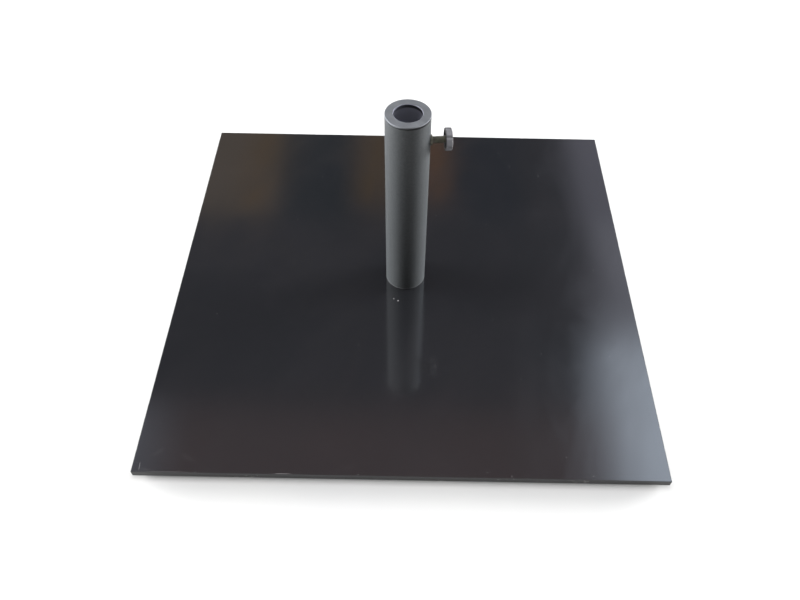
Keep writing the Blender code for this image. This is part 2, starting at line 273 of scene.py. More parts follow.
# A metric thread: its depth as a share of the pitch, where its flanks begin and end in one pitch, the slope
# of its first and last turn, how much wider an inside thread is, how far a plain shank is below an outside
# thread's root, and the spare turns that are cut off at each end.
THREAD_DEPTH = 0.6134
THREAD_FLANKS = (1 / 16, 3 / 8, 5 / 8, 15 / 16)
THREAD_LEAD_IN = 1.0
THREAD_CLEARANCE = 0.00022
THREAD_RELIEF = 0.0001
SPARE_TURNS = 2


def thread_grid(bm, start, end, major, pitch, ends, inside, sides):
    """Rows of points along a right-hand thread, cut off square at both ends. A crest crosses +X at each
    whole pitch from height 0, so two threads of one pitch fit each other. ends are its end radii."""
    length = end - start
    turns = math.ceil(length / pitch) + 2 * SPARE_TURNS
    grid = []
    for row in range(turns * len(THREAD_FLANKS)):
        turn, flank = divmod(row, len(THREAD_FLANKS))
        on_crest = flank in (0, len(THREAD_FLANKS) - 1)
        full = major if on_crest else major - THREAD_DEPTH * pitch
        points = []
        for column in range(sides):
            turns_along = turn - SPARE_TURNS + THREAD_FLANKS[flank] + column / sides
            along = pitch * turns_along - start % pitch
            along = min(max(along, 0), length)
            leads = (ends[0], along), (ends[1], length - along)
            if inside:
                radius = max([full + THREAD_CLEARANCE] + [r - d * THREAD_LEAD_IN for r, d in leads])
            else:
                radius = min([full] + [r + d * THREAD_LEAD_IN for r, d in leads])
            angle = TAU * column / sides
            x, y = radius * math.cos(angle), radius * math.sin(angle)
            points.append(bm.verts.new((x, y, start + along)))
        grid.append(points)
    return grid


def threaded(before, after, major, pitch, inside=False, sides=SMALL_SIDES):
    """A solid turned about Z whose surface is threaded between two profiles. The profiles go on from the
    thread's ends. An inside thread's profiles meet each other round the outside."""
    bm = bmesh.new()
    (first_radius, start), (last_radius, end) = before[-1], after[0]
    grid = thread_grid(bm, start, end, major, pitch, (first_radius, last_radius), inside, sides)
    top = len(grid) - 1
    for row in range(top):
        for column in range(sides):
            crossing = column == sides - 1
            other = 0 if crossing else column + 1
            low = min(row + len(THREAD_FLANKS) * crossing, top)
            high = min(row + 1 + len(THREAD_FLANKS) * crossing, top)
            corners = (grid[row][column], grid[low][other], grid[high][other], grid[row + 1][column])
            distinct = list(dict.fromkeys(corners))
            if len(distinct) > 2:
                bm.faces.new(distinct)
    lower = [ring(bm, radius, height, sides) for radius, height in before[:-1]] + [grid[0]]
    upper = [grid[-1]] + [ring(bm, radius, height, sides) for radius, height in after[1:]]
    join_rings(bm, lower)
    join_rings(bm, upper)
    close_rings(bm, [lower[0], upper[-1]], closed=inside)
    bmesh.ops.remove_doubles(bm, verts=bm.verts, dist=WELD_DISTANCE)
    return bm


# ---- material tools

# The sockets of a colour Mix node: its factor and two colours, and its result.
MIX_INPUTS = (0, 6, 7)
MIX_RESULT = 2
# A noise from its usual dark parts to its usual light ones.
USUAL = (0.3, 0.7)


def add_node(tree, kind, inputs=(), **settings):
    """A shader node with these settings, each of its inputs linked or set."""
    made = tree.nodes.new("ShaderNode" + kind)
    for name, value in settings.items():
        setattr(made, name, value)
    for socket, value in dict(inputs).items():
        if isinstance(value, bpy.types.NodeSocket):
            tree.links.new(value, made.inputs[socket])
        else:
            made.inputs[socket].default_value = value
    return made


def eased(tree, value, low, high, to_low=0.0, to_high=1.0):
    """value eased from low..high to to_low..to_high."""
    limits = {"From Min": low, "From Max": high, "To Min": to_low, "To Max": to_high}
    inputs = {"Value": value, **limits}
    return add_node(tree, "MapRange", inputs, interpolation_type="SMOOTHSTEP").outputs["Result"]


class Finish:
    """A procedural material round one Principled shader. Its pattern follows the piece's own axes."""

    def __init__(self, name, uniform):
        self.material = bpy.data.materials.new(name)
        self.material.use_nodes = True
        self.tree = self.material.node_tree
        self.shader = self.tree.nodes["Principled BSDF"]
        for socket, value in uniform.items():
            self.shader.inputs[socket].default_value = value
        self.where = self.node("TexCoord").outputs["Object"]
        self.normal = None

    def node(self, kind, inputs=(), **settings):
        return add_node(self.tree, kind, inputs, **settings)

    def stretched(self, scale, turn=(0, 0, 0)):
        """The pattern's place, scaled differently along each axis after a turn."""
        turned_place = self.node("Mapping", {"Vector": self.where, "Rotation": turn})
        scaled = {"Vector": turned_place.outputs["Vector"], "Scale": scale}
        return self.node("Mapping", scaled).outputs["Vector"]

    def noise(self, scale, detail=3.0, roughness=0.55, distortion=0.0, where=None):
        sockets = ("Vector", "Scale", "Detail", "Roughness", "Distortion")
        values = (where or self.where, scale, detail, roughness, distortion)
        return self.node("TexNoise", dict(zip(sockets, values))).outputs["Fac"]

    def spread(self, *value_and_range):
        return eased(self.tree, *value_and_range)

    def pattern(self, noise, limits=USUAL, where=None):
        """A noise spread over a range."""
        return self.spread(self.noise(*noise, where=where), *limits)

    def math(self, operation, a, b=0.0):
        made = self.node("Math", {0: a, 1: b}, operation=operation)
        return made.outputs["Value"]

    def times(self, a, b):
        return self.math("MULTIPLY", a, b)

    def plus(self, a, b):
        return self.math("ADD", a, b)

    def most(self, a, b):
        return self.math("MAXIMUM", a, b)

    def mix(self, factor, *colours):
        ends = [c if isinstance(c, bpy.types.NodeSocket) else (*c, 1.0) for c in colours]
        inputs = dict(zip(MIX_INPUTS, (factor, *ends)))
        return self.node("Mix", inputs, data_type="RGBA").outputs[MIX_RESULT]

    def axes(self):
        split = self.node("SeparateXYZ", {"Vector": self.where})
        return split.outputs["X"], split.outputs["Y"], split.outputs["Z"]

    def from_axis(self):
        """The distance from the piece's own Z axis."""
        x, y, _ = self.axes()
        squares = self.times(x, x), self.times(y, y)
        return self.math("SQRT", self.plus(*squares))

    def raise_by(self, height, distance):
        """Adds relief: height 1 stands this far out."""
        inputs = {"Height": height, "Distance": distance, "Strength": 1.0}
        if self.normal is not None:
            inputs["Normal"] = self.normal
        self.normal = self.node("Bump", inputs).outputs["Normal"]

    def set(self, socket, value):
        self.tree.links.new(value, self.shader.inputs[socket])

    def done(self):
        if self.normal is not None:
            self.set("Normal", self.normal)
        return self.material


# ---- materials

# A noise is given by its scale, detail, roughness and distortion, and a range by its two ends and, where it
# has four numbers, what they become. Relief is how far a pattern stands out.

# How sharply specks are chosen, and a scratch's wander about its line, its breaks and a mark's soft edge.
SPECK_CHOICE = 0.9
SCRATCH_WANDER = (1.0, 2.0, 0.4)
SCRATCH_LINE = 0.5
SCRATCH_BREAKS = (7.0, 3.0), (0.62, 0.72)
MARK_EDGE = (0.60, 0.35)


def specks(finish, scale, size, share):
    """Small round spots, in this share of the pattern's cells."""
    inputs = {"Vector": finish.where, "Scale": scale}
    cells = finish.node("TexVoronoi", inputs, voronoi_dimensions="2D")
    chance = finish.node("SeparateColor", {"Color": cells.outputs["Color"]})
    spot = finish.spread(cells.outputs["Distance"], size * scale, size * scale / 2)
    chosen = finish.spread(chance.outputs["Red"], share, share * SPECK_CHOICE)
    return finish.times(spot, chosen)


def scratches(finish, turn, width, spacing, length):
    """Fine lines in one direction."""
    where = finish.stretched((1 / spacing, 1 / length, 1.0), (0, 0, turn))
    drift = finish.noise(*SCRATCH_WANDER, where=where)
    off_line = finish.math("ABSOLUTE", finish.math("SUBTRACT", drift, SCRATCH_LINE))
    line = finish.spread(off_line, width / spacing, 0.0)
    return finish.times(line, finish.pattern(*SCRATCH_BREAKS))


# Marks on the plate's top: x and y of the middle, length, width, turn from +X and strength. The first two
# are specks of paint by the tube's foot, then come knocks along the front edge and scratches at its left
# corner.
PLATE_MARKS = (
    (-0.0170, -0.0495, 0.0015, 0.0015, 0.0, 0.75),
    (-0.0105, -0.0535, 0.0020, 0.0015, 0.4, 0.95),
    (0.1115, -0.3415, 0.0015, 0.0010, 0.0, 0.28),
    (0.1430, -0.3465, 0.0010, 0.0035, 0.0, 0.22),
    (0.2490, -0.3440, 0.0015, 0.0010, 0.0, 0.30),
    (-0.0560, -0.3480, 0.0015, 0.0010, 0.0, 0.40),
    (-0.1530, -0.3485, 0.0240, 0.0010, 0.0, 0.20),
    (-0.3080, -0.3485, 0.0760, 0.0005, 0.0, 0.14),
    (-0.3400, -0.3415, 0.0010, 0.0120, 0.05, 0.22),
    (-0.3330, -0.3455, 0.0180, 0.0005, -0.06, 0.12),
    (-0.3200, -0.3205, 0.0180, 0.0050, 0.7, 0.012),
    (-0.2790, -0.3285, 0.0240, 0.0060, -0.5, 0.010),
    (-0.0670, -0.3370, 0.0200, 0.0050, 0.3, 0.010),
)


def mark(finish, x, y, length, width, turn, strength):
    """One soft-edged oval mark."""
    spot = {
        "Vector": finish.where,
        "Location": (x, y, 0),
        "Rotation": (0, 0, turn),
        "Scale": (length, width, 1),
    }
    placed = finish.node("Mapping", spot, vector_type="TEXTURE").outputs["Vector"]
    flat = finish.node("VectorMath", {0: placed, 1: (1, 1, 0)}, operation="MULTIPLY")
    far = finish.node("VectorMath", {0: flat.outputs["Vector"]}, operation="LENGTH")
    return finish.spread(far.outputs["Value"], *MARK_EDGE, 0.0, strength)


# The plate's enamel, its specks (scale, size, share), its scratches (turn, width, spacing, length), which
# thicken towards the front left corner, and its chipped edges.
ENAMEL_IOR = 2.3
FILM = (5.0, 5.0, 0.6, 0.8), (0.35, 0.7)
ENAMEL_COLOURS = (0.0076, 0.0080, 0.0094), (0.0094, 0.0095, 0.0110)
DUST = (60.0, 0.0006, 0.018)
GRIT = (22.0, 0.0008, 0.014)
SCORES = (0.5, 0.00006, 0.012, 0.35), (-0.9, 0.00005, 0.016, 0.30)
WORN_CORNER = (-0.30, -0.62, 0.06, 0.5)
SPECK_STRENGTH = 0.35
SCRATCH_STRENGTH = 0.3
MARK_COLOUR = (0.34, 0.335, 0.34)
MARK_HEIGHTS = (0.0005, 0.0015)
CHIP_RAGGED = (210.0, 3.0, 0.6)
CHIP_PATCHES = (16.0, 2.0)
CHIP_WANDER = 0.0030
CHIP_RANGE = (0.00375, 0.00390)
CHIP_COLOUR = (0.12, 0.115, 0.11)
WIPED = (7.0, 4.0, 0.6, 1.5), (0.3, 0.75, 0.085, 0.165)
WIPE_STRETCH = (1.0, 0.35, 1.0)
WIPE_TURN = (0, 0, 0.25)
MARK_ROUGHNESS = 0.6
CHIP_ROUGHNESS = 0.55
SIDE_DEPTHS = (0.0007, 0.0001)
SIDE_GLOSS = (0.10, 0.50)
RIPPLE, RIPPLE_RELIEF = (11.0, 1.0), 0.00009
ORANGE_PEEL, ORANGE_PEEL_RELIEF = (230.0, 2.0), 0.0000045
CHIP_RELIEF = -0.00012
SCRATCH_RELIEF = -0.00001


def enamel():
    """Gloss black enamel, with a faint ripple, dust, wiped smears, fine scratches and chipped edges. The
    paint on the plate's sides is duller."""
    finish = Finish("gloss_black_enamel", {"IOR": ENAMEL_IOR})
    x, y, z = finish.axes()
    out = finish.most(finish.math("ABSOLUTE", x), finish.math("ABSOLUTE", y))
    rim = finish.math("SUBTRACT", out, PLATE_HALF)

    body = finish.mix(finish.pattern(*FILM), *ENAMEL_COLOURS)
    spotted = finish.most(specks(finish, *DUST), specks(finish, *GRIT))
    lines, crossing = (scratches(finish, *score) for score in SCORES)
    worn_corner = finish.spread(finish.plus(x, y), *WORN_CORNER)
    scored = finish.times(finish.most(lines, crossing), worn_corner)
    spots = finish.times(spotted, SPECK_STRENGTH)
    marked = finish.most(spots, finish.times(scored, SCRATCH_STRENGTH))
    above_underside = finish.spread(z, *(PLATE_LOW.z + height for height in MARK_HEIGHTS))
    for place in PLATE_MARKS:
        placed = finish.times(mark(finish, *place), above_underside)
        marked = finish.most(marked, placed)
    body = finish.mix(marked, body, MARK_COLOUR)

    ragged = finish.times(finish.noise(*CHIP_RAGGED), CHIP_WANDER)
    patchy = finish.times(finish.noise(*CHIP_PATCHES), CHIP_WANDER)
    near_edge = finish.plus(finish.plus(rim, ragged), patchy)
    chipped = finish.spread(near_edge, *CHIP_RANGE)
    finish.set("Base Color", finish.mix(chipped, body, CHIP_COLOUR))

    gloss = finish.pattern(*WIPED, where=finish.stretched(WIPE_STRETCH, WIPE_TURN))
    dulled = finish.most(gloss, finish.times(marked, MARK_ROUGHNESS))
    bare = finish.times(chipped, CHIP_ROUGHNESS)
    finish.set("Roughness", finish.most(dulled, bare))
    side = [PLATE_HIGH.z - depth for depth in SIDE_DEPTHS]
    finish.set("Specular IOR Level", finish.spread(z, *side, *SIDE_GLOSS))

    finish.raise_by(finish.noise(*RIPPLE), RIPPLE_RELIEF)
    finish.raise_by(finish.noise(*ORANGE_PEEL), ORANGE_PEEL_RELIEF)
    finish.raise_by(chipped, CHIP_RELIEF)
    finish.raise_by(scored, SCRATCH_RELIEF)
    return finish.done()


# The tube's powder coat. It is paler towards its foot, and painted shade darkens the joint at its mouth,
# more so towards +X.
COAT_SHEEN = {"IOR": 1.5, "Specular IOR Level": 0.35}
COAT_GRAIN, COAT_GRAIN_RELIEF = (1500.0, 3.0, 0.6), 0.000035
MOTTLE, MOTTLE_RELIEF = (420.0, 3.0, 0.6), 0.00004
DRAWN, DRAWN_RELIEF = (1.0, 2.0), 0.00003
DRAWN_STRETCH = (260.0, 260.0, 6.0)
COAT_COLOURS = (0.0265, 0.0287, 0.0300), (0.0353, 0.0377, 0.0396)
RUBBED = (60.0, 5.0, 0.7), (0.66, 0.78)
RUBBED_STRENGTH = 0.5
PALER_COAT_COLOUR = (0.070, 0.072, 0.075)
COAT_ROUGHNESS = (0.7, 1.3, 0.36, 0.52)
PALE_FOOT_HEIGHTS = (0.0032, 0.0010)
PALE_FOOT_STRENGTH = 0.7
# Painted shade in the joint at the tube's mouth, darker towards +X.
JOINT_SHADE_COLOUR = (0.004, 0.004, 0.0045)
JOINT_SHADE_ACROSS = (-0.022, 0.004)
JOINT_SHADE_DEPTH = 0.0012
TUBE_JOINT_SHADE_STRENGTH = (0.3, 0.9)


def powder_coat():
    """Satin dark grey powder coat: a fine even grain, faint drawing lines along the tube, rubbed spots, a
    paler band at the foot and painted shade in the joint at the mouth."""
    finish = Finish("satin_powder_coat", COAT_SHEEN)
    x, _, z = finish.axes()
    grain = finish.noise(*COAT_GRAIN)
    mottle = finish.noise(*MOTTLE)
    drawn = finish.noise(*DRAWN, where=finish.stretched(DRAWN_STRETCH))
    body = finish.mix(finish.spread(mottle, *USUAL), *COAT_COLOURS)
    spots = finish.times(finish.pattern(*RUBBED), RUBBED_STRENGTH)
    foot = [TUBE_LOW.z + height for height in PALE_FOOT_HEIGHTS]
    pale_foot = finish.spread(z, *foot, 0.0, PALE_FOOT_STRENGTH)
    body = finish.mix(finish.most(spots, pale_foot), body, PALER_COAT_COLOUR)
    # Painted shade in the joint at the mouth, darker towards +X.
    joint_shade_band = finish.spread(z, TUBE_HIGH.z - JOINT_SHADE_DEPTH, TUBE_HIGH.z - JOINT_SHADE_DEPTH / 2)
    shade_across = finish.spread(x, *JOINT_SHADE_ACROSS, *TUBE_JOINT_SHADE_STRENGTH)
    finish.set("Base Color", finish.mix(finish.times(joint_shade_band, shade_across), body, JOINT_SHADE_COLOUR))
    finish.set("Roughness", finish.spread(finish.plus(grain, drawn), *COAT_ROUGHNESS))
    finish.raise_by(drawn, DRAWN_RELIEF)
    finish.raise_by(mottle, MOTTLE_RELIEF)
    finish.raise_by(grain, COAT_GRAIN_RELIEF)
    return finish.done()


# Moulded plastic, then what is different on a sleeve and on a knob: painted shade below the tube's mouth,
# in the joint and on the knob, and painted light on the bore's wall. Heights on a sleeve are from the
# tube's mouth, and depths in its bore are from the bore's wall.
PLASTIC_IOR = 1.48
FLOW, FLOW_RELIEF = (28.0, 4.0, 0.5, 1.2), 0.00003
PLASTIC_GRAIN, PLASTIC_GRAIN_RELIEF = (2.0, 0.6), 0.00002
PLASTIC_DUST = (90.0, 5.0, 0.7), (0.5, 0.8)
PLASTIC_DUST_STRENGTH = 0.45
PLASTIC_DARKENING = 0.8
PLASTIC_ROUGHNESS = (-0.06, 0.08)
# Painted shade on the sleeve below the tube's mouth.
SLEEVE_PAINTED_SHADE = (0.026, 0.027, 0.030)
SLEEVE_SHADE_DEPTH = 0.0015
# Painted light on the bore's wall.
BORE_PAINTED_LIGHT = (0.190, 0.194, 0.235)
BORE_PAINTED_LIGHT_DEPTHS = (0.0006, 0.0002)
# Painted shade in the joint between flange and tube.
JOINT_TOP = (0.0023, 0.0017)
JOINT_BOTTOM = (-0.0030, -0.0010)
SLEEVE_JOINT_SHADE_STRENGTH = (0.25, 0.95)
# Painted shade on the knob's faces and in its hollows.
KNOB_PAINTED_SHADE = (0.036, 0.035, 0.037)
KNOB_SHADE_STRENGTH = 0.9
OUTER_FACE = (-0.0030, -0.0008)
INNER_FACE = (0.0010, 0.0004)
HOLLOW = (0.0124, 0.0119)


def paint_sleeve_light_and_shade(finish, body):
    """A sleeve's colours: painted shade below the tube's mouth and in the joint, darker towards +X, and
    painted light on the bore's wall.
    """
    x, _, z = finish.axes()
    mouth = TUBE_HIGH.z
    # Painted shade below the tube's mouth.
    body = finish.mix(finish.spread(z, mouth, mouth - SLEEVE_SHADE_DEPTH), body, SLEEVE_PAINTED_SHADE)
    # Painted light on the bore's wall.
    in_bore = finish.spread(finish.from_axis(), *(BORE + depth for depth in BORE_PAINTED_LIGHT_DEPTHS))
    body = finish.mix(in_bore, body, BORE_PAINTED_LIGHT)
    # Painted shade in the joint, darker towards +X.
    below_flange = finish.spread(z, *(mouth + height for height in JOINT_TOP))
    above_barrel = finish.spread(z, *(mouth + height for height in JOINT_BOTTOM))
    in_joint = finish.math("MINIMUM", below_flange, above_barrel)
    shade_across = finish.spread(x, *JOINT_SHADE_ACROSS, *SLEEVE_JOINT_SHADE_STRENGTH)
    return finish.mix(finish.times(in_joint, shade_across), body, JOINT_SHADE_COLOUR)


def paint_knob_shade(finish, body):
    """A knob's colours: painted shade on both its faces and in its hollows."""
    near, far, _ = reach("screw_knob")
    z = finish.axes()[2]
    outer_face = (z, *(far + place for place in OUTER_FACE))
    inner_face = (z, *(near + place for place in INNER_FACE))
    hollows = (finish.from_axis(), *HOLLOW)
    # Painted shade on the outer face, the inner face and the hollows.
    for place in (outer_face, inner_face, hollows):
        body = finish.mix(finish.spread(*place, 0.0, KNOB_SHADE_STRENGTH), body, KNOB_PAINTED_SHADE)
    return body


def moulded(name, colour, dust_colour, roughness, grain_scale, light_and_shade_paint=None):
    """Moulded plastic: a fine spark-eroded grain, a slight flow pattern and dust in the hollows. Its last
    argument adds painted light and shade to its colours."""
    finish = Finish(name, {"IOR": PLASTIC_IOR})
    flow = finish.noise(*FLOW)
    grain = finish.noise(grain_scale, *PLASTIC_GRAIN)
    dusty = finish.times(finish.pattern(*PLASTIC_DUST), PLASTIC_DUST_STRENGTH)
    darker = tuple(c * PLASTIC_DARKENING for c in colour)
    body = finish.mix(finish.spread(flow, *USUAL), colour, darker)
    body = finish.mix(dusty, body, dust_colour)
    if light_and_shade_paint is not None:
        body = light_and_shade_paint(finish, body)
    finish.set("Base Color", body)
    rough = [roughness + change for change in PLASTIC_ROUGHNESS]
    finish.set("Roughness", finish.spread(grain, *USUAL, *rough))
    finish.raise_by(flow, FLOW_RELIEF)
    finish.raise_by(grain, PLASTIC_GRAIN_RELIEF)
    return finish.done()


CLOUD, CLOUD_RELIEF = (160.0, 5.0, 0.65), 0.00001
STAINS = (330.0, 4.0, 0.7), (0.52, 0.72)
STAIN_STRENGTH = 0.7
PLATING_DARKENING = 0.72
PLATING_ROUGHNESS = (-0.08, 0.12)
TURNING_SPACING, TURNING_RELIEF = 0.00035, 0.000003


def plated(name, colour, stain, roughness, metallic=1.0):
    """Zinc-plated steel, with turning marks, cloudy plating and dull stains."""
    finish = Finish(name, {"Metallic": metallic})
    cloud = finish.noise(*CLOUD)
    stained = finish.times(finish.pattern(*STAINS), STAIN_STRENGTH)
    darker = tuple(c * PLATING_DARKENING for c in colour)
    body = finish.mix(finish.spread(cloud, *USUAL), colour, darker)
    finish.set("Base Color", finish.mix(stained, body, stain))
    turning = finish.math("SINE", finish.times(finish.from_axis(), TAU / TURNING_SPACING))
    rough = [roughness + change for change in PLATING_ROUGHNESS]
    finish.set("Roughness", finish.spread(cloud, *USUAL, *rough))
    finish.raise_by(turning, TURNING_RELIEF)
    finish.raise_by(cloud, CLOUD_RELIEF)
    return finish.done()


RUBBER_IOR = 1.5
BLOOM = (120.0, 5.0, 0.7), (0.4, 0.75)
RUBBER_COLOURS = (0.014, 0.014, 0.014), (0.045, 0.043, 0.040)
PITS, PITS_RELIEF = (900.0, 3.0, 0.6), 0.00004
RUBBER_ROUGHNESS = (0.7, 0.9)


def rubber():
    """Black rubber: matt, pitted, with a grey bloom of dust."""
    finish = Finish("foot_rubber_black", {"IOR": RUBBER_IOR})
    finish.set("Base Color", finish.mix(finish.pattern(*BLOOM), *RUBBER_COLOURS))
    pits = finish.noise(*PITS)
    finish.set("Roughness", finish.spread(pits, *USUAL, *RUBBER_ROUGHNESS))
    finish.raise_by(pits, PITS_RELIEF)
    return finish.done()


ENAMEL = enamel()
POWDER_COAT = powder_coat()
SLEEVE_PLASTIC = moulded(
    "sleeve_moulded_plastic", (0.112, 0.119, 0.131), (0.160, 0.163, 0.168), 0.50, 1300.0, paint_sleeve_light_and_shade
)
KNOB_PLASTIC = moulded(
    "knob_moulded_plastic", (0.140, 0.140, 0.152), (0.18, 0.18, 0.19), 0.42, 1600.0, paint_knob_shade
)
NYLON = moulded("white_nylon", (0.60, 0.59, 0.54), (0.45, 0.44, 0.41), 0.50, 1400.0)
ZINC = plated("bright_zinc", (0.62, 0.63, 0.64), (0.30, 0.30, 0.29), 0.30)
DARK_ZINC = plated("dark_zinc_plate", (0.122, 0.118, 0.091), (0.048, 0.046, 0.038), 0.36, 0.35)
RAW_STEEL = plated("turned_raw_steel", (0.32, 0.31, 0.31), (0.12, 0.085, 0.065), 0.38)
RUBBER = rubber()


# ---- the plate

PLATE_EDGE = 0.0008
PLATE_CORNER = 0.0010
PLATE_SUPPORT = 0.004
EDGE_STEPS = 4
SIDE_POINTS = 360
CORNER_POINTS = 6
DENT_COUNT = 90
DENT_DEPTH = 0.00030
DENT_WIDTHS = (0.0012, 0.0060)
DENT_RARITY = 3
TOP_DENTS, BOTTOM_DENTS = 3, 8
SCREW_HOLE = 0.0045
HEAD_CLEARANCE = 0.0083
HEAD_LAND = 0.0009


def plate_outline(inset):
    """(x, y, distance round the edge) of each point on the square, moved in by inset."""
    half = PLATE_HALF - PLATE_CORNER
    radius = PLATE_CORNER - inset
    made = []
    for side in range(4):
        turn = TAU / 4 * side
        c, s = math.cos(turn), math.sin(turn)
        steps = [2 * i / SIDE_POINTS - 1 for i in range(SIDE_POINTS + 1)]
        straight = [(PLATE_HALF - inset, half * step) for step in steps]
        bends = [TAU / 4 * i / CORNER_POINTS for i in range(1, CORNER_POINTS)]
        bent = [(half + radius * math.cos(a), half + radius * math.sin(a)) for a in bends]
        for i, (x, y) in enumerate(straight + bent):
            round_edge = side + i / (SIDE_POINTS + CORNER_POINTS)
            made.append((c * x - s * y, s * x + c * y, round_edge))
    return made


def dents(seed):
    """A function of the distance round the edge: how far small knocks have pushed it in."""
    random = np.random.default_rng(seed)
    places = random.uniform(0, 4, DENT_COUNT)
    widths = random.uniform(*DENT_WIDTHS, DENT_COUNT) / (2 * PLATE_HALF)
    depths = DENT_DEPTH * random.uniform(0, 1, DENT_COUNT) ** DENT_RARITY
    return lambda place: float(np.max(depths * np.exp(-(((place - places) / widths) ** 2))))


def enamelled_plate():
    """The plate with rounded, slightly knocked edges and three countersunk holes from below."""
    bm = bmesh.new()
    low, high = PLATE_LOW.z, PLATE_HIGH.z
    arcs = [TAU / 4 * i / EDGE_STEPS for i in range(EDGE_STEPS + 1)]
    lower = [(PLATE_EDGE * (1 - math.sin(a)), low + PLATE_EDGE * (1 - math.cos(a))) for a in arcs]
    upper = [(PLATE_EDGE * (1 - math.cos(a)), high - PLATE_EDGE * (1 - math.sin(a))) for a in arcs]
    levels = [(PLATE_SUPPORT, low)] + lower + upper + [(PLATE_SUPPORT, high)]
    top_dents, bottom_dents = dents(TOP_DENTS), dents(BOTTOM_DENTS)
    rings = []
    for inset, z in levels:
        made = []
        nearness = (z - low) / (high - low)
        on_edge = inset < PLATE_SUPPORT
        for x, y, place in plate_outline(min(inset, PLATE_EDGE)):
            pushed = top_dents(place) * nearness + bottom_dents(place) * (1 - nearness)
            push = pushed if on_edge else PLATE_SUPPORT
            share = 1 - push / PLATE_HALF
            made.append(bm.verts.new((x * share, y * share, z)))
        rings.append(made)
    join_rings(bm, rings)
    close_rings(bm, rings, closed=False)
    plate = piece("enamelled_plate", bm, ENAMEL)
    for screw in BASE_SCREWS:
        land_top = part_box(screw)[0].z + HEAD_LAND / 2
        cone_top = land_top + HEAD_CLEARANCE - SCREW_HOLE
        hole = [
            (HEAD_CLEARANCE, low - PLATE_EDGE),
            (HEAD_CLEARANCE, land_top),
            (SCREW_HOLE, cone_top),
            (SCREW_HOLE, high + PLATE_EDGE),
        ]
        cut(plate, capped(hole), upright_at(screw))
    stand_for(plate, "base", "black_enamel", "base_plate")


# ---- rubber feet

FOOT_EDGE = 0.0007
GROOVES = (0.0062, 0.0102, 0.0142)
GROOVE_WIDTH = 0.0012
GROOVE_DEPTH = 0.0006
GROOVE_TAPER = 0.5
GROOVE_EDGES = (0.00015, 0.0001)
FOOT_CAP = 0.0015


def rubber_feet():
    """Glued rubber discs with ring grooves in the face that stands on the ground."""
    for node in FEET:
        low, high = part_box(node)
        radius = (high.x - low.x) / 2
        half, depth = GROOVE_WIDTH / 2, low.z + GROOVE_DEPTH
        outer, inner = GROOVE_EDGES
        profile = [(FOOT_CAP, low.z)]
        for groove in GROOVES:
            profile += [
                (groove - half, low.z, outer),
                (groove - half * GROOVE_TAPER, depth, inner),
                (groove + half * GROOVE_TAPER, depth, inner),
                (groove + half, low.z, outer),
            ]
        profile += [(radius, low.z, FOOT_EDGE), (radius, high.z, FOOT_EDGE), (FOOT_CAP, high.z)]
        foot = piece(f"rubber_{node}", capped(profile), RUBBER, upright_at(node))
        stand_for(foot, "base", "foot_rubber", node)


# ---- the tube and what is inside it

TUBE_EDGE = 0.0006
TUBE_MOUTH_EDGE = 0.0010
DISC_EDGE = 0.0006
TAPPED_HOLE = 0.0043
GUIDE_FUNNEL = 0.006
GUIDE_EDGE = 0.001
GUIDE_BEND = 0.002
INSERT_HOLE = 0.0068


def coated_tube():
    profile = [
        (TUBE_INNER, TUBE_LOW.z, TUBE_EDGE / 2),
        (TUBE_OUTER, TUBE_LOW.z, TUBE_EDGE),
        (TUBE_OUTER, TUBE_HIGH.z, TUBE_MOUTH_EDGE),
        (TUBE_INNER, TUBE_HIGH.z, TUBE_EDGE / 2),
    ]
    tube = piece("coated_tube", turned(profile), POWDER_COAT)
    hole = [(INSERT_HOLE, BORE), (INSERT_HOLE, 2 * TUBE_OUTER)]
    cut(tube, capped(hole), SCREW_FRAME)
    stand_for(tube, "base", "tube_coating", "stem_tube")


def end_disc():
    """The turned steel disc welded in the tube's foot, with its three tapped holes."""
    low, high = DISC_LOW.z, DISC_HIGH.z
    profile = [
        (CAP, low),
        (INNER_FIT, low, DISC_EDGE),
        (INNER_FIT, high, DISC_EDGE),
        (CAP, high),
    ]
    disc = piece("tube_end_disc", capped(profile, FINE_SIDES), RAW_STEEL)
    mouth = TAPPED_HOLE + DISC_EDGE
    hole = [
        (mouth, low - DISC_EDGE),
        (mouth, low),
        (TAPPED_HOLE, low + DISC_EDGE),
        (TAPPED_HOLE, high - DISC_EDGE),
        (mouth, high),
        (mouth, high + DISC_EDGE),
    ]
    for screw in BASE_SCREWS:
        cut(disc, capped(hole), upright_at(screw))
    stand_for(disc, "base", "raw_steel", "stem_end_disc")


def pole_guide():
    """The plastic ring on the disc, with a funnel that leads the pole's foot in."""
    low, high = GUIDE_LOW.z, GUIDE_HIGH.z
    profile = [
        (BORE, low, PLAIN),
        (INNER_FIT, low, GUIDE_EDGE),
        (INNER_FIT, high, GUIDE_EDGE / 2),
        (BORE + GUIDE_FUNNEL, high, PLAIN),
        (BORE, high - GUIDE_FUNNEL, GUIDE_BEND),
    ]
    guide = piece("foot_guide_ring", turned(profile), SLEEVE_PLASTIC)
    stand_for(guide, "base", "sleeve_plastic", "lower_pole_guide")


# ---- screws under the plate

M8_PITCH = 0.00125
M8_MAJOR = 0.004
M8_SOCKET_FLATS = 0.005
M8_SOCKET_DEPTH = 0.003
M8_HEAD = 0.008
M8_LAND = 0.0004
M8_CAP = 0.001
# Where a screw's plain neck ends and its thread's root begins, from the head's cone.
M8_NECK = (0.001, 0.0016)
# How far the socket's chamfer reaches past the hexagon's corners, and how far its cone starts outside.
M8_CHAMFER = 0.00015
M8_CHAMFER_START = 0.0004


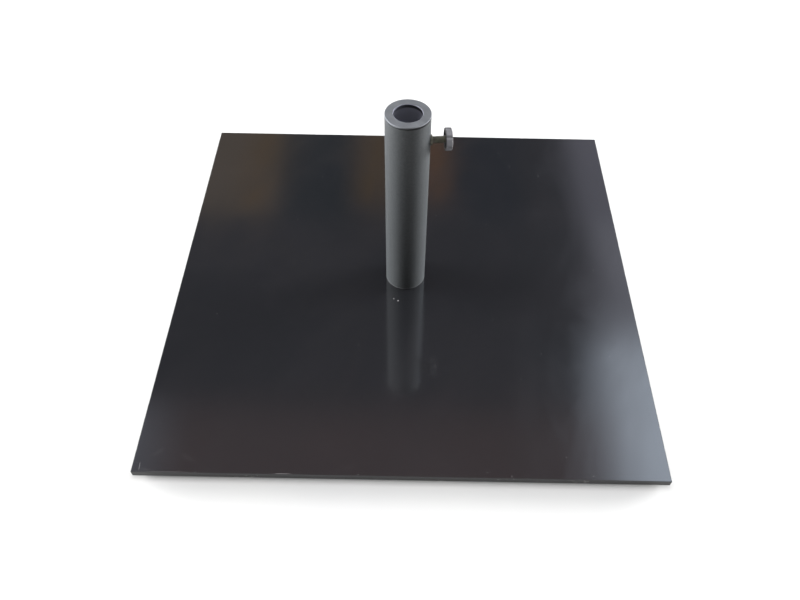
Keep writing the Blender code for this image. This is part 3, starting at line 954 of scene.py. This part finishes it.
def countersunk_screws():
    """M8 socket screws with their heads down. Height 0 is the head's flat face."""
    root = M8_MAJOR - THREAD_DEPTH * M8_PITCH - THREAD_RELIEF
    cone = M8_LAND + M8_HEAD - M8_MAJOR
    neck_end, thread_start = (cone + height for height in M8_NECK)
    chamfer = M8_SOCKET_FLATS / 2 / math.cos(math.pi / 6) + M8_CHAMFER
    for number, node in enumerate(BASE_SCREWS, 1):
        low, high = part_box(node)
        length = high.z - low.z
        head = [(M8_CAP, 0), (M8_HEAD, 0, CRISP), (M8_HEAD, M8_LAND), (M8_MAJOR, cone)]
        before = rounded(head, closed=False) + [(M8_MAJOR, neck_end), (root, thread_start)]
        after = [(root, length), (M8_CAP, length)]
        screw = piece(
            f"countersunk_screw_{number}",
            threaded(before, after, M8_MAJOR, M8_PITCH),
            ZINC,
            upright_at(node) @ Matrix.Translation((0, 0, low.z)),
        )
        socket = prism(hexagon(M8_SOCKET_FLATS), -M8_SOCKET_DEPTH, M8_SOCKET_DEPTH)
        cut(screw, socket, screw.matrix_world)
        cone_ends = [(chamfer + M8_CHAMFER_START, -M8_CHAMFER_START), (SMALL_CAP, chamfer - SMALL_CAP)]
        cut(screw, capped(cone_ends), screw.matrix_world)
        stand_for(screw, "base", "zinc_steel", node)


# ---- the reducer sleeve

SLEEVE_WALL = 0.0025
FLANGE_UNDER_EDGE = 0.0007
RIB_COUNT = 8
RIB_THICKNESS = 0.002
RIB_OVERLAP = 0.001
RIB_START = 0.001
RIB_LEAD_IN = 0.004
SLOT_HALF = 0.009
SLOT_ARC_STEPS = 32


def reducer_sleeve():
    """The ribbed plastic sleeve whose flange is the ring on the tube's mouth."""
    bottom, top = SLEEVE_LOW.z, SLEEVE_HIGH.z
    flange_bottom = TUBE_HIGH.z + GAP
    barrel = BORE + SLEEVE_WALL
    profile = [
        (BORE, bottom, ROUND),
        (barrel, bottom, FULL),
        (barrel, flange_bottom),
        (TUBE_OUTER, flange_bottom, FLANGE_UNDER_EDGE),
        (TUBE_OUTER, top, ROUND),
        (BORE, top, ROUND),
    ]
    upright = Matrix.Rotation(SCREW_TURN, 4, "Z")
    sleeve = piece("ribbed_sleeve", turned(profile), SLEEVE_PLASTIC, upright)
    inner = BORE + RIB_OVERLAP
    outline = [
        (inner, bottom + RIB_START),
        (barrel, bottom + RIB_START),
        (INNER_FIT, bottom + RIB_LEAD_IN),
        (INNER_FIT, flange_bottom + RIB_OVERLAP),
        (inner, flange_bottom + RIB_OVERLAP),
    ]
    for i in range(RIB_COUNT):
        rib = prism(outline, -RIB_THICKNESS / 2, RIB_THICKNESS / 2)
        turn = Matrix.Rotation(TAU * (i + 0.5) / RIB_COUNT + SCREW_TURN, 4, "Z")
        cut(sleeve, rib, turn @ Matrix.Rotation(math.pi / 2, 4, "X"), "UNION")
    bends = [math.pi * (0.5 + i / SLOT_ARC_STEPS) for i in range(SLOT_ARC_STEPS + 1)]
    open_end = SCREW_PLACE.z - bottom + SLOT_HALF
    slot = [(SLOT_HALF * math.cos(a), SLOT_HALF * math.sin(a)) for a in bends]
    slot += [(open_end, -SLOT_HALF), (open_end, SLOT_HALF)]
    cut(sleeve, prism(slot, BORE / 4, TUBE_OUTER), SCREW_FRAME)
    stand_for(sleeve, "sleeve", "sleeve_plastic", "reducer_sleeve")


# ---- the thumb screw

M10_PITCH = 0.0015
M10_MAJOR = 0.005
# The insert's radii, its chamfer, and the stations of its swelling, from the tube's wall inwards.
INSERT_BODY, INSERT_BULGE, INSERT_FLANGE = 0.0065, 0.00825, 0.00725
INSERT_CHAMFER = 0.0003
INSERT_SWELLING = (0.0258, 0.0252, 0.0230, 0.0215)
NOSE_RADIUS = 0.002
NOSE_END = 0.024
HEX_FLATS = 0.015
HEX_START = 0.0525
HEX_LENGTH = 0.0042
# The stud's plain neck, up to a cap inside the hexagon head.
NECK_LENGTH = 0.0015
NECK_SLOPE = 0.0005
NECK_RELIEF = 0.0003
NECK_OVERLAP = 0.002
SHANK_HOLE = 0.0053


def threaded_insert():
    """The rivet nut in the tube's wall, threaded inside, with its flange outside the wall."""
    start, end, _ = reach("screw_insert")
    mouth = M10_MAJOR + THREAD_CLEARANCE + INSERT_CHAMFER
    wall = TUBE_OUTER + GAP
    behind_wall, full, full_end, swelling_end = INSERT_SWELLING
    outside = rounded(
        [
            (mouth, end),
            (INSERT_FLANGE, end, SOFT),
            (INSERT_FLANGE, wall, NEAT),
            (INSERT_BODY, wall),
            (INSERT_BODY, behind_wall, NEAT),
            (INSERT_BULGE, full, PLAIN),
            (INSERT_BULGE, full_end, ROUND),
            (INSERT_BODY, swelling_end, SOFT),
            (INSERT_BODY, start, CRISP),
            (mouth, start),
        ],
        closed=False,
    )
    split = len(outside) // 2
    insert = piece(
        "threaded_insert",
        threaded(outside[split:], outside[:split], M10_MAJOR, M10_PITCH, inside=True),
        DARK_ZINC,
        SCREW_FRAME,
    )
    stand_for(insert, "base", "dark_zinc", "screw_insert")


def threaded_stud():
    """The M10 stud, from its nose to the hexagon head inside the knob."""
    nose_start = reach("clamp_screw")[0]
    root = M10_MAJOR - THREAD_DEPTH * M10_PITCH - THREAD_RELIEF
    nose = [
        (SMALL_CAP, nose_start),
        (NOSE_RADIUS, nose_start, NEAT),
        (NOSE_RADIUS, NOSE_END),
        (root, NOSE_END),
    ]
    neck, neck_start = M10_MAJOR - NECK_RELIEF, HEX_START - NECK_LENGTH
    neck_end = HEX_START + NECK_OVERLAP
    after = [(root, neck_start), (neck, neck_start + NECK_SLOPE), (neck, neck_end), (SMALL_CAP, neck_end)]
    shank = threaded(rounded(nose, closed=False), after, M10_MAJOR, M10_PITCH)
    stud = piece("threaded_stud", shank, DARK_ZINC, SCREW_FRAME)
    head = prism(hexagon(HEX_FLATS), HEX_START, HEX_START + HEX_LENGTH)
    cut(stud, head, SCREW_FRAME, "UNION")
    stand_for(stud, "thumb_screw", "dark_zinc", "clamp_screw")


def nylon_pad():
    """The nylon cap on the stud's nose that presses on the pole."""
    start, end, radius = reach("thrust_pad")
    hole = NOSE_RADIUS + GAP
    floor = reach("clamp_screw")[0] - GAP
    profile = [
        (SMALL_CAP, start),
        (radius, start, FULL),
        (radius, end, NEAT),
        (hole, end, CRISP),
        (hole, floor),
        (SMALL_CAP, floor),
    ]
    pad = piece("nylon_thrust_pad", capped(profile), NYLON, SCREW_FRAME)
    stand_for(pad, "screw_tip", "nylon", "thrust_pad")


KNOB_LOBES = 6
POINTS_PER_LOBE = 32
KNOB_GROOVE_DEPTH = 0.0018
KNOB_GROOVE_SHARPNESS = 8
KNOB_FAR_EDGE = 0.0025
KNOB_LOBE_TURN = math.radians(15)
KNOB_HOLLOW = 0.0118
KNOB_HOLLOW_DEPTH = 0.0024
KNOB_HOLLOW_SLOPE = 0.0003
# The ring dished into the outer face: its radii, how far its two sides slope, and the boss in its middle.
KNOB_DISH = (0.0042, 0.0100)
KNOB_DISH_SLOPES = (0.0008, 0.0012)
KNOB_DISH_DEPTH = 0.0008
KNOB_BOSS_DEPTH = 0.0002


def lobed_knob():
    """The six-lobed plastic knob, moulded round the stud's head, with a hollow in each face."""
    near, far, radius = reach("screw_knob")
    hollow, dish, boss = near + KNOB_HOLLOW_DEPTH, far - KNOB_DISH_DEPTH, far - KNOB_BOSS_DEPTH
    inner, outer = KNOB_DISH
    inner_slope, outer_slope = KNOB_DISH_SLOPES
    profile = rounded(
        [
            (CAP, hollow),
            (KNOB_HOLLOW - KNOB_HOLLOW_SLOPE, hollow, SOFT),
            (KNOB_HOLLOW, near, NEAT),
            (radius, near, FULL),
            (radius, far, KNOB_FAR_EDGE),
            (outer, far, SOFT),
            (outer - outer_slope, dish, ROUND),
            (inner + inner_slope, dish, PLAIN),
            (inner, boss, PLAIN),
            (CAP, boss),
        ],
        closed=False,
    )
    bm = bmesh.new()
    count = KNOB_LOBES * POINTS_PER_LOBE
    rings = []
    for distance_out, height in profile:
        share = max(0.0, (distance_out - KNOB_HOLLOW) / (radius - KNOB_HOLLOW))
        made = []
        for i in range(count):
            angle = TAU * i / count
            wave = 0.5 - 0.5 * math.cos(KNOB_LOBES * (angle - KNOB_LOBE_TURN))
            r = distance_out - KNOB_GROOVE_DEPTH * wave**KNOB_GROOVE_SHARPNESS * share
            made.append(bm.verts.new((r * math.cos(angle), r * math.sin(angle), height)))
        rings.append(made)
    join_rings(bm, rings)
    close_rings(bm, rings, closed=False)
    knob = piece("lobed_knob", bm, KNOB_PLASTIC, SCREW_FRAME)
    pocket_end = HEX_START + HEX_LENGTH
    pocket = prism(hexagon(HEX_FLATS + 2 * GAP), HEX_START - GAP, pocket_end + GAP)
    cut(knob, pocket, SCREW_FRAME)
    shank = [(SHANK_HOLE, TUBE_OUTER), (SHANK_HOLE, HEX_START + GAP)]
    cut(knob, capped(shank), SCREW_FRAME)
    stand_for(knob, "thumb_screw", "knob_plastic", "screw_knob")


# ---- studio

# The camera stands at CAMERA_PLACE, measured from the middle of the plate's top.
CAMERA_PLACE = Vector((0.002, -0.783, 0.870))
CAMERA_AZIMUTH = math.radians(-0.04)
CAMERA_ELEVATION = math.radians(51.97)
CAMERA_ROLL = math.radians(1.10)
CAMERA_LENS = 33.2
CAMERA_SENSOR = 36.0
CAMERA_SHIFT = (-0.0075, 0.0325)
CAMERA_CLIP = (0.01, 200.0)

CEILING_HEIGHT = 3.0
CEILING_STEP = 0.05
CEILING_X = (-2.6, 2.6)
CEILING_Y = (0.4, 5.2)
CEILING_BASE = (0.042, 0.040, 0.045)
# Soft panels on the ceiling behind the base. Each is given by the part of the plate that mirrors it to the
# camera: x from, x to, y from, y to, its soft edge, and its light.
PANELS = (
    (-0.60, -0.225, 0.13, 0.60, 0.035, (0.225, 0.170, 0.115)),
    (-0.290, -0.240, 0.15, 0.60, 0.040, (0.245, 0.150, 0.055)),
    (-0.215, -0.095, 0.12, 0.60, 0.030, (0.017, 0.026, 0.031)),
    (-0.090, -0.020, 0.16, 0.60, 0.035, (0.195, 0.112, 0.030)),
    (0.030, 0.075, 0.18, 0.60, 0.025, (0.300, 0.130, 0.028)),
    (0.080, 0.200, 0.12, 0.60, 0.030, (0.014, 0.020, 0.030)),
    (-0.600, 0.600, -0.90, -0.25, 0.090, (0.150, 0.104, 0.100)),
    (0.306, 1.500, -1.20, 0.90, 0.075, (0.50, 0.51, 0.60)),
    (0.306, 1.500, 0.13, 0.90, 0.075, (0.34, 0.335, 0.41)),
    (0.285, 1.500, -1.20, -0.12, 0.100, (1.56, 1.76, 2.05)),
    (-1.50, -0.325, -1.20, -0.25, 0.060, (0.31, 0.325, 0.38)),
)


def smooth(value):
    value = np.clip(value, 0, 1)
    return value * value * (3 - 2 * value)


def band(values, low, high, edge):
    """1 between low and high, easing to 0 over the edge's width."""
    return smooth((values - low) / edge + 0.5) * smooth((high - values) / edge + 0.5)


def ceiling_light(x, y):
    """The ceiling's light at these points, which the plate mirrors at x, y."""
    light = np.ones((len(x), 3)) * CEILING_BASE
    for x_low, x_high, y_low, y_high, edge, colour in PANELS:
        share = (band(x, x_low, x_high, edge) * band(y, y_low, y_high, edge))[:, None]
        light = light * (1 - share) + share * np.array(colour)
    return light


def ceiling():
    """The glowing ceiling that the plate's gloss mirrors to the camera."""
    mirror_scale = 1 + CEILING_HEIGHT / CAMERA_PLACE.z
    ends = CEILING_X, CEILING_Y
    edges = [np.arange(low, high + CEILING_STEP / 2, CEILING_STEP) for low, high in ends]
    xs, ys = (grid.ravel() for grid in np.meshgrid(*edges, indexing="xy"))
    mirrored_x = CAMERA_PLACE.x + (xs - CAMERA_PLACE.x) / mirror_scale
    mirrored_y = CAMERA_PLACE.y + (ys - CAMERA_PLACE.y) / mirror_scale
    height = PLATE_HIGH.z + CEILING_HEIGHT
    columns, rows = len(edges[0]), len(edges[1])
    corners = [
        (r * columns + c, r * columns + c + 1, (r + 1) * columns + c + 1, (r + 1) * columns + c)
        for r in range(rows - 1)
        for c in range(columns - 1)
    ]
    mesh = bpy.data.meshes.new("ceiling")
    mesh.from_pydata([(x, y, height) for x, y in zip(xs, ys)], [], corners)
    light = mesh.attributes.new("light", "FLOAT_COLOR", "POINT")
    colours = np.ones((len(xs), 4))
    colours[:, :3] = ceiling_light(mirrored_x, mirrored_y)
    light.data.foreach_set("color", colours.ravel())
    material = bpy.data.materials.new("ceiling_glow")
    material.use_nodes = True
    tree = material.node_tree
    tree.nodes.clear()
    colour = add_node(tree, "Attribute", attribute_name="light").outputs["Color"]
    glow = add_node(tree, "Emission", {"Color": colour}).outputs["Emission"]
    add_node(tree, "OutputMaterial", {"Surface": glow})
    mesh.materials.append(material)
    obj = show("ceiling", mesh)
    obj.visible_camera = False
    obj.visible_shadow = False


FLOOR_SIZE = 40.0
FLOOR_TONE = (3.0, 4.0, 0.6)
FLOOR_COLOURS = (0.39, 0.39, 0.39), (0.41, 0.41, 0.405)
FLOOR_ROUGHNESS = (0.8, 0.9)
FLOOR_SHEEN = 0.2
# The floor's glow rises between these two distances from the first strength to the second.
FLOOR_GLOW = (1.1, 2.0, 0.18, 0.90)


def floor():
    """A pale floor that runs out into an even white distance."""
    finish = Finish("pale_floor", {"Specular IOR Level": FLOOR_SHEEN, "Emission Color": (1, 1, 1, 1)})
    tone = finish.noise(*FLOOR_TONE)
    finish.set("Base Color", finish.mix(finish.spread(tone, *USUAL), *FLOOR_COLOURS))
    finish.set("Roughness", finish.spread(tone, *USUAL, *FLOOR_ROUGHNESS))
    finish.set("Emission Strength", finish.spread(finish.from_axis(), *FLOOR_GLOW))
    mesh = bpy.data.meshes.new("floor")
    corners = [(x * FLOOR_SIZE, y * FLOOR_SIZE, 0) for x, y in ((-1, -1), (1, -1), (1, 1), (-1, 1))]
    mesh.from_pydata(corners, [], [(0, 1, 2, 3)])
    mesh.materials.append(finish.done())
    obj = show("floor", mesh)


# The softboxes: place, what each faces, width, height and brightness.
SOFTBOXES = {
    "left_softbox": ((-2.6, 0.36, 0.30), (0, 0, 0.15), 1.2, 0.50, 222.0),
    "right_softbox": ((2.5, 0.80, 0.30), (0, 0, 0.15), 1.2, 0.50, 212.0),
    "overhead_softbox": ((0, 0.25, 2.6), (0, 0, 0), 2.0, 2.0, 6.2),
}
# The sky's light: dim in front and brighter behind, above an even white horizon.
SKY_FRONT_TO_BACK = (-0.85, 0.10, 0.18, 0.60)
SKY_HORIZON = (0.14, 0.30, 1.0)


def lights():
    for name, (place, target, width, height, light) in SOFTBOXES.items():
        lamp = bpy.data.lights.new(name, "AREA")
        lamp.shape = "RECTANGLE"
        lamp.size, lamp.size_y = width, height
        lamp.energy = light * width * height * math.pi
        obj = show(name, lamp)
        obj.location = place
        obj.rotation_mode = "QUATERNION"
        obj.rotation_quaternion = (Vector(target) - Vector(place)).to_track_quat("-Z", "Y")
        obj.visible_camera = False
        obj.visible_glossy = False
    world = bpy.data.worlds.new("studio")
    world.use_nodes = True
    tree = world.node_tree
    sky = tree.nodes["Background"]
    where = add_node(tree, "TexCoord").outputs["Generated"]
    split = add_node(tree, "SeparateXYZ", {"Vector": where})
    above = eased(tree, split.outputs["Y"], *SKY_FRONT_TO_BACK)
    strength = eased(tree, split.outputs["Z"], *SKY_HORIZON, above)
    tree.links.new(strength, sky.inputs["Strength"])
    sky.inputs["Color"].default_value = (1.0, 1.0, 1.0, 1)
    bpy.context.scene.world = world


def camera():
    data = bpy.data.cameras.new("camera")
    data.sensor_fit = "HORIZONTAL"
    data.sensor_width = CAMERA_SENSOR
    data.lens = CAMERA_LENS
    data.shift_x, data.shift_y = CAMERA_SHIFT
    data.clip_start, data.clip_end = CAMERA_CLIP
    obj = show("camera", data)
    place = CAMERA_PLACE + Vector((0, 0, PLATE_HIGH.z))
    obj.matrix_world = (
        Matrix.Translation(place)
        @ Matrix.Rotation(CAMERA_AZIMUTH, 4, "Z")
        @ Matrix.Rotation(math.pi / 2 - CAMERA_ELEVATION, 4, "X")
        @ Matrix.Rotation(CAMERA_ROLL, 4, "Z")
    )
    bpy.context.scene.camera = obj


camera()
floor()
ceiling()
lights()
bpy.context.scene.view_settings.view_transform = "Standard"

enamelled_plate()
rubber_feet()
coated_tube()
end_disc()
pole_guide()
countersunk_screws()
reducer_sleeve()
threaded_insert()
threaded_stud()
nylon_pad()
lobed_knob()
